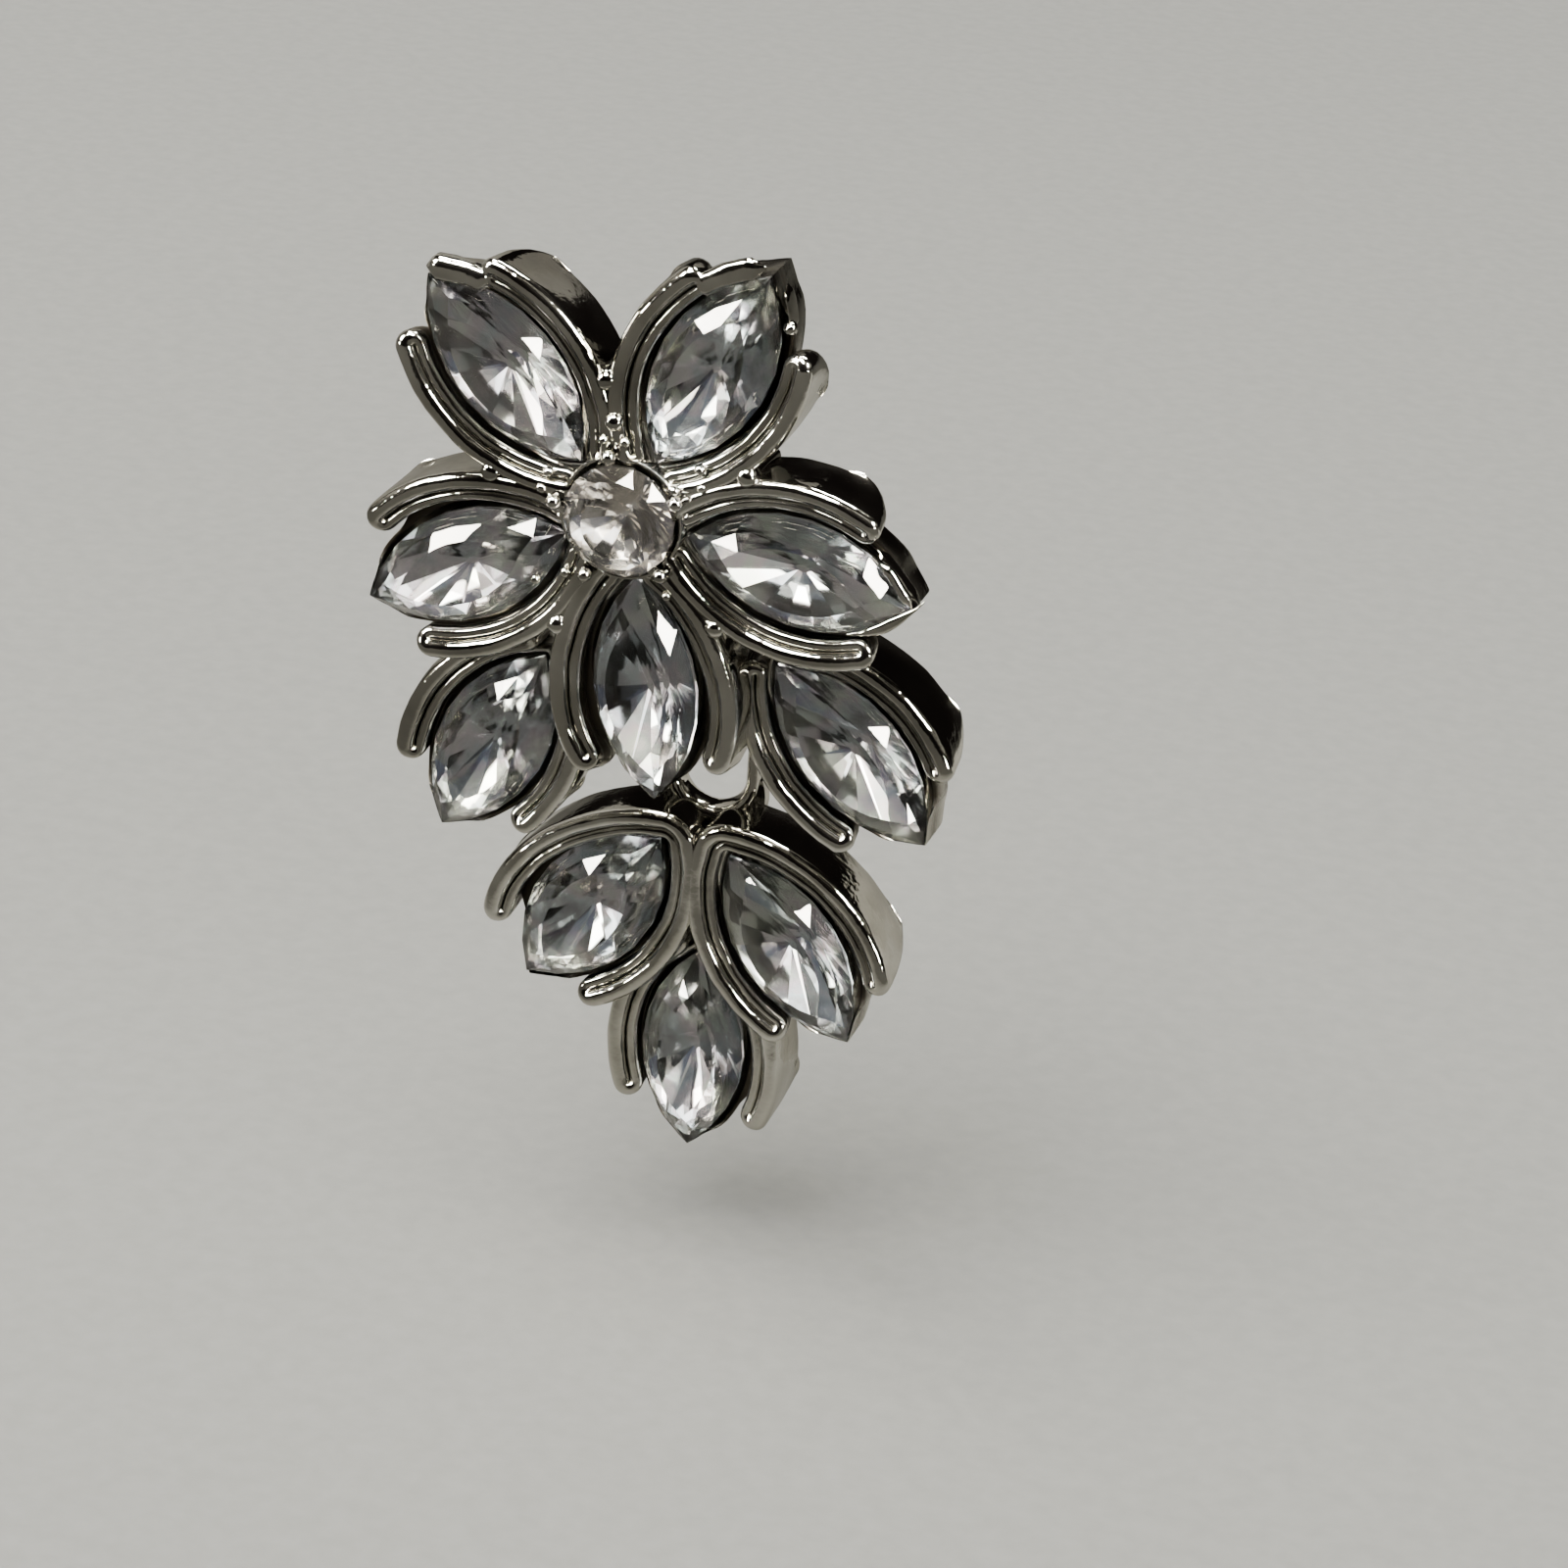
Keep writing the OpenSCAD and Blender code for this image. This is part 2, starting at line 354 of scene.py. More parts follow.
silver = platedMetal("castSilver", castSilver)
glass = clearStone("clearStone", clearGlass)
foil = foilBack("stoneFoil", agedFoil, "smoky")
warmFoil = foilBack("centreFoil", agedFoil, "warm")
print("materials ready")


# side rails and cup of one petal, drawn along +X from its stone's inner tip
railShape = {
    "gap": 0.29,                   # from the stone to the lip
    "width": 1.35,
    "lip": 0.25,                   # radius of the lip, its inner edge
    "ridge": 0.42,                 # radius of the ridge, its outer edge
    "start": -46,                  # degrees along the stone's arc from its middle
    "end": 27,
    "lipHeight": 0.0,              # lip centre over the girdle
    "ridgeHeight": 0.1,            # ridge centre over the girdle
    "grooveDepth": 0.1,            # groove floor under the girdle
    "seam": 0.012,                 # half width of the groove floor's flat, as a share
    "roundTurn": 200,              # degrees of lip and ridge that show
    "roundSteps": 10,
    "wallLean": 0.05,              # outer wall nearer at its back, as a share
    "wallBulge": 0.02,
    "backShares": (0.82, 0.66, 0.52, 0.4, 0.29, 0.19, 0.11, 0.05, 0.015, 0),   # rows of both walls
    "stations": 40,
    "capStations": 10,
    "bend": 1.0,                   # radius round the inner tip where two rails are one
    "bendStations": 14,
    "tipFrom": 0.7,                # share of a rail's length where its end shape sets in
    "wrapTipFrom": 0.85,           # the same where two rails are one
    "slant": -0.45,                # how much further its back reaches than its front
    "lowestSlant": 0.7,            # the same for the lowest petal of the flower
    "backRound": (1.15, 1.8),      # round corner at its ends' back: along the rail, in depth
    "castNoise": 0.03,
}
railRing = arcRadius + railShape["gap"] + railShape["width"] / 2


def drawnIn(r, slant, z):
    # how far a rail's end moves along the rail at one height
    along, deep = r["backRound"]
    share = min(max(1 - z / deep, 0), 1)
    return slant * max(0, 1 - z / stoneCut["girdle"]) - along * (1 - math.sqrt(1 - share ** 2))


def railProfiles(r):
    # (distance from the spine as a share of its reach, height) over the outer and the inner side
    half = r["width"] / 2
    spine = -half + 2 * r["lip"]
    floor = stoneCut["girdle"] - r["grooveDepth"]
    ridgeTop = stoneCut["girdle"] + r["ridgeHeight"]
    lipTop = stoneCut["girdle"] + r["lipHeight"]
    outer, inner = [(r["seam"], floor)], [(r["seam"], floor)]
    for k in range(r["roundSteps"] + 1):
        degrees = r["roundTurn"] * k / r["roundSteps"]
        a = math.radians(r["roundTurn"] - degrees)
        away = half - r["ridge"] + r["ridge"] * math.cos(a) - spine
        outer.append((away / (half - spine), ridgeTop + r["ridge"] * math.sin(a)))
        a = math.radians(180 - r["roundTurn"] + degrees)
        away = spine - (-half + r["lip"]) - r["lip"] * math.cos(a)
        inner.append((away / (half + spine), lipTop + r["lip"] * math.sin(a)))
    for share in r["backShares"]:
        bulge = r["wallBulge"] * math.sin(math.pi * share)
        outer.append((1 - r["wallLean"] * (1 - share) ** 2 + bulge, ridgeTop * share))
        inner.append((1, lipTop * share))
    return spine, floor, outer, inner


def arcStation(degrees, side):
    # a rail's middle and its outward way at one place along the stone
    a = math.radians(degrees)
    out = Vector((math.sin(a), side * math.cos(a), 0))
    return Vector((stoneMiddle, -side * arcBeyond, 0)) + out * railRing, out


def railStations(r, side):
    steps = r["stations"] - 1
    return [arcStation(r["start"] + (r["end"] - r["start"]) * k / steps, side) for k in range(steps + 1)]


def wrappedStations(r):
    # both rails of a petal as one, bent round the stone's inner tip
    bend = r["bend"]
    bendX = stoneMiddle - math.sqrt((railRing - bend) ** 2 - arcBeyond ** 2)
    meet = math.degrees(math.atan2(bendX - stoneMiddle, arcBeyond))
    steps = r["stations"] - 1
    angles = [r["end"] + (meet - r["end"]) * k / steps for k in range(steps + 1)]
    rows = [arcStation(angle, 1) for angle in angles]
    for k in range(1, r["bendStations"]):
        a = math.radians(meet + (-180 - 2 * meet) * k / r["bendStations"])
        out = Vector((math.sin(a), math.cos(a), 0))
        rows.append((Vector((bendX, 0, 0)) + out * bend, out))
    return rows + [arcStation(angle, -1) for angle in reversed(angles)]


def railParts(r, rows, bothTips, slant):
    spine, floor, outer, inner = railProfiles(r)
    half = r["width"] / 2
    count = len(rows)
    ways = []
    for k in range(count):
        near = rows[min(k + 1, count - 1)][0] - rows[max(k - 1, 0)][0]
        ways.append((near - rows[k][1] * near.dot(rows[k][1])).normalized())
    shares = [k / (count - 1) for k in range(count)]
    ahead = [smooth(r["tipFrom"], 1, share) for share in shares]
    if bothTips:
        tipFrom = r["wrapTipFrom"]
        ahead = [smooth(tipFrom, 1, share) - smooth(tipFrom, 1, 1 - share) for share in shares]
    points, faces = [], []
    top = list(range(count))
    for middle, out in rows:
        spot = middle + out * spine
        points.append(Vector((spot.x, spot.y, floor)))
    base = [count + k for k in range(count)]
    points += [rows[k][0] + ways[k] * ahead[k] * drawnIn(r, slant, 0) for k in range(count)]
    # ribs run once round the spine: outer side, end cap, inner side, start cap
    ribs = [(k, 0.0) for k in range(count)]
    ribs += [(count - 1, 180 * j / r["capStations"]) for j in range(1, r["capStations"])]
    ribs += [(k, 180.0) for k in reversed(range(count))]
    ribs += [(0, 180 + 180 * j / r["capStations"]) for j in range(1, r["capStations"])]
    size = len(outer)
    first = len(points)
    for k, bend in ribs:
        blend = 0.5 - 0.5 * math.cos(math.radians(bend))
        middle, out = rows[k]
        b = math.radians(bend)
        edge = middle + (out * math.cos(b) + ways[k] * math.sin(b)) * half
        start = middle + out * spine
        for p, q in zip(outer, inner):
            share = p[0] * (1 - blend) + q[0] * blend
            z = p[1] * (1 - blend) + q[1] * blend
            spot = start.lerp(edge, share) + ways[k] * ahead[k] * drawnIn(r, slant, z)
            points.append(Vector((spot.x, spot.y, z)))
    total = len(ribs)
    for j in range(total):
        h = (j + 1) % total
        a, b = first + j * size, first + h * size
        ka, kb = ribs[j][0], ribs[h][0]
        for i in range(size - 1):
            faces.append((a + i, b + i, b + i + 1, a + i + 1))
        if ka == kb:
            faces.append((top[ka], b, a))
            faces.append((base[ka], a + size - 1, b + size - 1))
        else:
            faces.append((top[ka], top[kb], b, a))
            faces.append((base[ka], a + size - 1, b + size - 1, base[kb]))
    return points, faces


cupShape = {
    "rimSide": 2.0,                # rim height along the stone's sides
    "rimTip": 2.5,                 # and round its tips
    "rimRise": (0.62, 0.95),       # where it rises, as shares of the way to a tip
    "tipShare": 0.2,               # its offset at the outer tip against the sides'
    "tipClose": (0.75, 0.95),      # where that offset sets in
    "stations": 72,
    # columns: offset from the stone's edge, share of the rim height, drop under it
    "rows": ((-0.7, 0, 0), (0.2, 0, 0), (0.3, 0.12, 0), (0.35, 0.6, 0), (0.38, 1, 0.12), (0.36, 1, 0.03),
             (0.29, 1, 0), (0.2, 1, 0.03), (0.14, 1, 0.14), (-0.1, 0.74, 0), (-0.5, 0.4, 0),
             (-0.95, 0.26, 0)),
    "wallRows": (2, 7),            # those of the outer wall
}


def marquiseOutline(off, count):
    # points clockwise from the inner tip, grown by off; the tips stay sharp
    radius = arcRadius + off
    halfAngle = math.acos(arcBeyond / radius)
    rows = []
    for k in range(count):
        t = 2 * k / count
        s = 1 if t < 1 else -1
        f = halfAngle * (2 * (t % 1) - 1)
        rows.append((stoneMiddle + s * radius * math.sin(f), s * (radius * math.cos(f) - arcBeyond)))
    return rows


def cupParts(c):
    count = c["stations"]
    points = []
    for off, share, under in c["rows"]:
        closer = marquiseOutline(off * c["tipShare"] if off > 0 else off, count)
        for (x, y), (tipX, tipY) in zip(marquiseOutline(off, count), closer):
            toTip = (x - stoneMiddle) / stoneMiddle
            rim = c["rimSide"] + (c["rimTip"] - c["rimSide"]) * smooth(*c["rimRise"], abs(toTip))
            tip = smooth(*c["tipClose"], toTip)
            points.append(Vector((x + (tipX - x) * tip, y + (tipY - y) * tip, rim * share - under)))
    rings = len(c["rows"])
    return points, ringFaces(rings, count) + [cap[::-1] for cap in endCaps(rings, count)]


# painted shade: where the grooves, the gaps beside the stones and the lower outer walls are darkened, and
# how much
creviceShade = {
    "grooveSide": (-0.1, 0.2),     # the groove's strip, from the lip's outer edge
    "grooveSpan": (-0.05, 0.22),   # heights over the girdle between dark and plain
    "stoneSpan": (-0.5, -0.1),     # the same beside the stone
    "backSpan": (0.8, 1.8),        # heights over the back between plain and dark beside the stone
    "wallMost": 0.3,               # on a rail's outer wall
    "wallTop": 1.6,
    "least": 0.15,
}


def creviceAt(c, p):
    # how much painted shade a point of a petal gets: deep in the groove, between the lip and the stone, and
    # low on a rail's outer wall
    side = 1 if p.y > 0 else -1
    off = math.hypot(p.x - stoneMiddle, p.y + side * arcBeyond) - arcRadius
    lipEdge = railShape["gap"] + 2 * railShape["lip"]
    overGirdle = p.z - stoneCut["girdle"]
    if off > lipEdge + c["grooveSide"][1]:
        return c["wallMost"] * (1 - smooth(0, c["wallTop"], p.z))
    if off > lipEdge + c["grooveSide"][0]:
        return 1 - smooth(*c["grooveSpan"], overGirdle)
    return max(c["least"], smooth(*c["backSpan"], p.z) * (1 - smooth(*c["stoneSpan"], overGirdle)))


def petalSource(name, wrapped, slant):
    rails = [wrappedStations(railShape)]
    if not wrapped:
        rails = [railStations(railShape, side) for side in (1, -1)]
    parts = [railParts(railShape, rows, wrapped, slant) for rows in rails]
    mesh = closedMesh(name, *joined(parts + [cupParts(cupShape)]))
    # painted shade, kept on each point for the metal's colour
    dark = mesh.attributes.new("crevice", "FLOAT", "POINT")
    dark.data.foreach_set("value", [creviceAt(creviceShade, v.co) for v in mesh.vertices])
    # whole rails bend; of the cup only the outer wall goes with them
    railCount = sum(len(p) for p, f in parts)
    outerWall = range(*(railCount + row * cupShape["stations"] for row in cupShape["wallRows"]))
    onRail = mesh.attributes.new("rail", "FLOAT", "POINT")
    onRail.data.foreach_set("value", [1.0 if k < railCount else 0.5 if k in outerWall else 0.0
                                      for k in range(len(mesh.vertices))])
    item = newObject(name, mesh)
    item.hide_render = True
    return item


openPetal = petalSource("openPetal", False, railShape["slant"])
lowestPetal = petalSource("lowestPetal", False, railShape["lowestSlant"])
wrappedPetal = petalSource("wrappedPetal", True, railShape["slant"])


# a tree that sets copies of one casting at the points of a mesh, each turned by the point's own angle
def placementTree(name):
    g, n, l = newTree(name, "GeometryNodeTree", (
        ("Geometry", "Geometry"), ("casting", "Object"), ("size", "Float", 1.0), ("finish", "Material")),
        (("Geometry", "Geometry"),))
    g.is_modifier = True
    given = n.new("NodeGroupInput").outputs
    info = feed(l, n.new("GeometryNodeObjectInfo"), {"Object": given["casting"]})
    info.transform_space = "ORIGINAL"
    turn = feed(l, n.new("GeometryNodeInputNamedAttribute"), {"Name": "turn"})
    turn.data_type = "FLOAT"
    spin = feed(l, n.new("ShaderNodeCombineXYZ"), {"Z": turn.outputs["Attribute"]})
    copies = feed(l, n.new("GeometryNodeInstanceOnPoints"), {
        "Points": given["Geometry"], "Instance": info.outputs["Geometry"],
        "Rotation": spin.outputs["Vector"], "Scale": given["size"]})
    real = feed(l, n.new("GeometryNodeRealizeInstances"), {"Geometry": copies.outputs["Instances"]})
    paint = feed(l, n.new("GeometryNodeSetMaterial"), {
        "Geometry": real.outputs["Geometry"], "Material": given["finish"]})
    l.new(paint.outputs["Geometry"], n.new("NodeGroupOutput").inputs["Geometry"])
    return g


placement = placementTree("castingPlacement")
inputIds = {item.name: item.identifier for item in placement.interface.items_tree if item.in_out == "INPUT"}


def placedCopies(name, casting, spots):
    # spots: (point, angle in radians) in the flat drawing; gives one plain mesh, still flat
    points = bpy.data.meshes.new(name + "Points")
    points.from_pydata([p for p, a in spots], [], [])
    points.attributes.new("turn", "FLOAT", "POINT").data.foreach_set("value", [a for p, a in spots])
    holder = newObject(name + "Points", points)
    modifier = holder.modifiers.new("placement", "NODES")
    modifier.node_group = placement
    for label, value in (("casting", casting), ("size", 1.0), ("finish", silver)):
        modifier[inputIds[label]] = value
    holder.update_tag()
    graph = bpy.context.evaluated_depsgraph_get()
    mesh = bpy.data.meshes.new_from_object(holder.evaluated_get(graph))
    mesh.name = name
    holder.modifiers.remove(modifier)
    bpy.data.objects.remove(holder)
    if "turn" in mesh.attributes:
        mesh.attributes.remove(mesh.attributes["turn"])
    return mesh


# cast surfaces are never quite even
castSurface = {
    "broad": 0.9,                  # waves per mm
    "fine": 2.7,
    "fineShare": 0.4,
    "sharpFrom": 50,               # degrees between faces that stay a sharp edge
    "seed": 4,                     # the same unevenness each run
}
noise.seed_set(castSurface["seed"])


def finished(name, mesh, body, roughen):
    c = castSurface
    for v in mesh.vertices:
        broad, fine = noise.noise_vector(v.co * c["broad"]), noise.noise_vector(v.co * c["fine"])
        v.co += (broad + fine * c["fineShare"]) * roughen
    mesh.transform(standUp)
    mesh.update()
    for p in mesh.polygons:
        p.use_smooth = True
    mesh.set_sharp_from_angle(angle=math.radians(c["sharpFrom"]))
    item = newObject(name, mesh)
    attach(item, body)
    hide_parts(body + "_setting")
    print(name, len(mesh.polygons), "faces")


def petalPlaces(angles, radius, back, centre=(0, 0), turn=0):
    # a petal drawn along +X goes out to its angle, clockwise from up
    places = []
    for angle in angles:
        spin = Matrix.Rotation(math.radians(90 - angle + turn), 4, "Z")
        places.append(Matrix.Translation((*centre, -back)) @ spin @ Matrix.Translation((radius, 0, 0)))
    return places


flowerPlaces = petalPlaces(layout["flowerPetals"], layout["flowerRadius"], 0, turn=layout["flowerTurn"])
flowerPlaces += petalPlaces(layout["midPetals"], layout["midRadius"], layout["midBack"],
                            turn=layout["flowerTurn"])
dropPlaces = petalPlaces((180 - layout["sideAngle"], 180 + layout["sideAngle"]), layout["sideRadius"],
                         layout["dropBack"], layout["dropCentre"])
dropPlaces += petalPlaces((180,), layout["tailRadius"], layout["dropBack"] + layout["tailBack"],
                          layout["dropCentre"])

# every casting was cut and bent by hand: how its rail ends differ from the drawn ones
# columns: petal, shorter (degrees), outward (mm) on its left looking outward, the same on its right
railEnds = {
    "flower": ((3, -0.15, 8, 0), (8, 0, 0, 0), (3, 0.25, 3, 0.42), (2, 0, 5.5, 0.3), (1, 0.05, 0, 0),
               (6, 0.1, 6, 0), (9, 0, 7, 0)),
    "drop": ((3.5, 0.25, 3.5, 0), (0, 0, 0.5, 0.6), (6, 0.3, 8, 0)),
    "bendFrom": -32,               # degrees along the stone's arc where a rail starts to differ
    "wallClose": (-8, 3),          # degrees about the new end between which the cup's wall turns back
}


def bentEnds(mesh, places, rows, c):
    size = len(mesh.vertices) // len(places)
    onRail = mesh.attributes["rail"].data
    for k, (place, row) in enumerate(zip(places, rows)):
        back = place.inverted()
        for v in mesh.vertices[k * size:(k + 1) * size]:
            p = back @ v.co
            side = 1 if p.y > 0 else -1
            shorter, outward = row[:2] if side > 0 else row[2:]
            angle = math.degrees(math.atan2(p.x - stoneMiddle, side * p.y + arcBeyond))
            kind = onRail[v.index].value
            share = smooth(c["bendFrom"], railShape["end"], angle) if kind > 0 else 0
            if share > 0:
                fromNewEnd = angle - (railShape["end"] - shorter)
                closing = 1 if kind == 1 else 1 - smooth(*c["wallClose"], fromNewEnd)
                reach = math.hypot(p.x - stoneMiddle, side * p.y + arcBeyond) + outward * share * closing
                a = math.radians(angle - (shorter * share if kind == 1 else 0))
                v.co = place @ Vector((stoneMiddle + reach * math.sin(a),
                                       side * (reach * math.cos(a) - arcBeyond), p.z))
    mesh.attributes.remove(mesh.attributes["rail"])


low = layout["lowestPetal"]
flowerEnds, dropEnds = railEnds["flower"], railEnds["drop"]
petalSets = (
    # name, casting, places, rail ends, body
    ("flowerPetals", openPetal, flowerPlaces[:low] + flowerPlaces[low + 1:],
     flowerEnds[:low] + flowerEnds[low + 1:], "flower"),
    ("flowerLowestPetal", lowestPetal, flowerPlaces[low:low + 1], flowerEnds[low:low + 1], "flower"),
    ("dropSidePetals", wrappedPetal, dropPlaces[:2], dropEnds[:2], "drop"),
    ("dropTailPetal", openPetal, dropPlaces[2:], dropEnds[2:], "drop"),
)
for name, casting, places, ends, body in petalSets:
    mesh = placedCopies(name, casting, [(tuple(m.translation), m.to_euler().z) for m in places])
    bentEnds(mesh, places, ends, railEnds)
    finished(name, mesh, body, railShape["castNoise"])
for source in (openPetal, lowestPetal, wrappedPetal):
    bpy.data.objects.remove(source)


# small metal pieces
def latheRings(rows, centre, count, stretch=0.0):
    # rows: (radius, z); stretch draws the rings out upwards
    points = []
    for r, z in rows:
        for k in range(count):
            a = 2 * math.pi * k / count
            lift = stretch if 0 < k < count / 2 else 0
            points.append(Vector((centre[0] + r * math.cos(a), centre[1] + r * math.sin(a) + lift, z)))
    return points


def lathe(rows, centre, count=48):
    # rows run from the bottom's middle to the top's middle
    return latheRings(rows, centre, count), ringFaces(len(rows), count) + endCaps(len(rows), count)


def ringLathe(rows, centre, count=64, stretch=0.0):
    # rows go round the ring's own cross-section and close on themselves
    return latheRings(rows, centre, count, stretch), ringFaces(len(rows), count, True)


def tube(path, radii, count=24):
    points = []
    for j, spot in enumerate(path):
        ahead = path[min(j + 1, len(path) - 1)] - path[max(j - 1, 0)]
        z = ahead.normalized()
        x = Vector((1, 0, 0))
        x = (x - z * x.dot(z)).normalized()
        y = z.cross(x)
        for k in range(count):
            a = 2 * math.pi * k / count
            points.append(spot + (x * math.cos(a) + y * math.sin(a)) * radii[j])
    return points, ringFaces(len(path), count) + endCaps(len(path), count)


def metalPiece(name, parts, body, roughen):
    mesh = closedMesh(name, *joined(parts))
    mesh.materials.append(silver)
    finished(name, mesh, body, roughen)


roundCut = {
    "diameter": 4.9,
    "lift": 0.8,                   # its girdle in front of the petals' girdles
    "girdleThick": 0.25,
    "crown": 0.85,
    "pavilion": 1.9,
    "sides": 16,
    "culet": 0.05,
    "crownRows": ((0.8, 0.8, 0.65, 0.5), (0.55, 0.55, 1, 0)),   # columns as in stoneCut
}
girdleTop = stoneCut["girdle"] + roundCut["lift"]

collet = {
    "hole": (0.4, 1.0),            # radius under the stone, height of its floor
    # outward from the stone's edge, and height over the back
    "foot": ((0.28, 0), (0.3, 1.5)),
    # outward from the stone's edge, and depth under its girdle
    "rim": ((0.28, 0.45), (0.24, 0.37), (0.16, 0.36), (0.08, 0.42), (-0.5, 0.95)),
    "backRadius": 5.2,
    "backThick": 0.7,
    "backProud": 0.08,             # the back plate behind the petals' backs
    "backEdge": 0.1,
    "roughen": 0.015,
}


def flowerHeart(c):
    edge = roundCut["diameter"] / 2
    wall = [(c["hole"][0], 0)]
    wall += [(edge + off, z) for off, z in c["foot"]]
    wall += [(edge + off, girdleTop - under) for off, under in c["rim"]]
    wall.append(c["hole"])
    wide, thick, soft = c["backRadius"], c["backThick"], c["backEdge"]
    plate = [(wide - soft, -c["backProud"]), (wide, soft - c["backProud"]), (wide, thick - soft),
             (wide - soft, thick)]
    return [ringLathe(wall, (0, 0)), lathe(plate, (0, 0))]


rods = {
    "prongs": {"ring": 2.87, "radius": 0.3, "ballZ": girdleTop + 0.15, "ball": 1.08, "roughen": 0.02},
    "solderBeads": {"ring": 6.0, "radius": 0.5, "ballZ": stoneCut["girdle"] + 0.1, "ball": 1.04,
                    "roughen": 0.05},
    "count": 5,
    "waist": (0.98, 0.6),          # radius at its neck, and its depth under the ball's centre, as shares
    "ballArc": (-40, 128, 9),      # from, turn and steps
    "sides": 20,
}


def ballRod(name, rod, c):
    radius, ballZ = rod["radius"], rod["ballZ"]
    neck, under = c["waist"]
    rows = [(radius, 0), (radius, ballZ * 0.5), (radius * neck, ballZ - radius * under)]
    ball = radius * rod["ball"]
    rows += [(ball * math.cos(a), ballZ + ball * math.sin(a)) for a in turns(*c["ballArc"])]
    item = newObject(name, closedMesh(name, *lathe(rows, (0, 0), c["sides"])))
    item.hide_render = True
    return item


metalPiece("flowerHeart", flowerHeart(collet), "flower", collet["roughen"])
for name in ("prongs", "solderBeads"):
    source = ballRod(name + "Source", rods[name], rods)
    spots = []
    for k in range(rods["count"]):
        a = math.radians(90 + layout["flowerTurn"] + 360 * k / rods["count"])
        spots.append(((rods[name]["ring"] * math.cos(a), rods[name]["ring"] * math.sin(a), 0), a))
    finished(name, placedCopies(name, source, spots), "flower", rods[name]["roughen"])
    bpy.data.objects.remove(source)

# metal folded up round the three upper tips, as on the casting
foldShape = {
    # columns: petal, side, from x, to x, outward from the stone's edge, middle height,
    # half width, half height, share of its length that tapers
    "rows": (
        (4, -1, 8.0, 10.25, 0.45, 2.62, 0.6, 0.5, 0.12),
        (4, -1, 8.6, 10.0, 0.36, 1.9, 0.14, 0.5, 0.2),
        (0, 1, 7.6, 10.2, 0.46, 2.72, 0.5, 0.3, 0.14),
        (0, -1, 8.3, 9.9, 0.42, 2.1, 0.1, 0.55, 0.2),
        (1, 1, 8.3, 10.0, 0.2, 2.72, 0.22, 0.2, 0.2),
        (1, 1, 7.9, 10.2, 0.36, 2.3, 0.1, 0.4, 0.2),
        (1, -1, 7.6, 10.4, 0.03, 2.8, 0.26, 0.2, 0.45),
    ),
    "along": 16,
    "round": 14,
    "tipSize": 0.12,               # size of its ends against its middle
    "square": 0.85,                # 1 is a round cross-section, less a squarer one
    "roughen": 0.07,
}


def foldParts(c, row):
    petal, side, start, end, off, height, wide, high, taper = row
    radius = arcRadius + off
    steps = c["along"] - 1
    spots = []
    for k in range(c["along"]):
        x = start + (end - start) * k / steps
        reach = math.sqrt(max(radius ** 2 - (x - stoneMiddle) ** 2, 0)) - arcBeyond
        spots.append(Vector((x, side * reach, height)))
    points = []
    small = c["tipSize"]
    for k, spot in enumerate(spots):
        way = (spots[min(k + 1, steps)] - spots[max(k - 1, 0)]).normalized()
        out = Vector((-way.y, way.x, 0)) * side
        starting, ending = smooth(0, taper, k / steps), smooth(0, taper, 1 - k / steps)
        full = (small + (1 - small) * starting) * (small + (1 - small) * ending)
        for j in range(c["round"]):
            a = 2 * math.pi * j / c["round"]
            u = math.copysign(abs(math.cos(a)) ** c["square"], math.cos(a))
            v = math.copysign(abs(math.sin(a)) ** c["square"], math.sin(a))
            points.append(spot + out * (u * wide * full) + Vector((0, 0, v * high * full)))
    faces = ringFaces(c["along"], c["round"]) + endCaps(c["along"], c["round"])
    return [flowerPlaces[petal] @ p for p in points], faces


metalPiece("tipFolds", [foldParts(foldShape, row) for row in foldShape["rows"]], "flower",
           foldShape["roughen"])

# solder left between the rails round the centre
solder = {
    # columns: x, y, z, radius
    "drops": (
        (-0.5, 4.23, 3.0, 0.42), (-0.86, 3.4, 3.15, 0.24), (0.05, 3.5, 3.15, 0.24),
        (2.42, 1.8, 3.3, 0.24), (3.35, 2.75, 3.0, 0.26), (3.45, 2.0, 3.0, 0.22),
        (-3.6, 0.7, 3.0, 0.26), (-3.3, 1.5, 3.0, 0.24), (4.1, -4.3, 2.6, 0.26), (3.4, -5.4, 2.2, 0.2),
        (-2.4, -2.9, 3.0, 0.26), (-3.7, -3.5, 2.9, 0.24), (2.2, -3.1, 3.0, 0.22),
        (6.7, 9.45, 2.55, 0.3), (-8.35, 6.8, 2.75, 0.2), (4.05, -6.7, 2.3, 0.22),
    ),
    "arc": (-88, 176, 13),         # from, turn and steps; its ends are a little flat
    "sides": 18,
    "roughen": 0.07,
}


def solderDrop(c, row):
    x, y, z, radius = row
    rings = [(radius * math.cos(a), z + radius * math.sin(a)) for a in turns(*c["arc"])]
    return lathe(rings, (x, y), c["sides"])


metalPiece("solderDrops", [solderDrop(solder, row) for row in solder["drops"]], "flower", solder["roughen"])

pinShape = {
    "radius": 0.45,
    "heights": (0.4, -1, -2.5, -4),     # its way back; the first is inside the petal's cup
    "gap": 0.12,
    "bend": 0.5,
    "bendArc": (0, 90, 8),
    "hookLength": 1.9,
    "leads": (0.3, 0.1, 0.2),      # straight bits before the bend, after it and before the ball
    "swell": 0.04,                 # ball's radius over the pin's
    "ballArc": (-30, 115, 5),
}


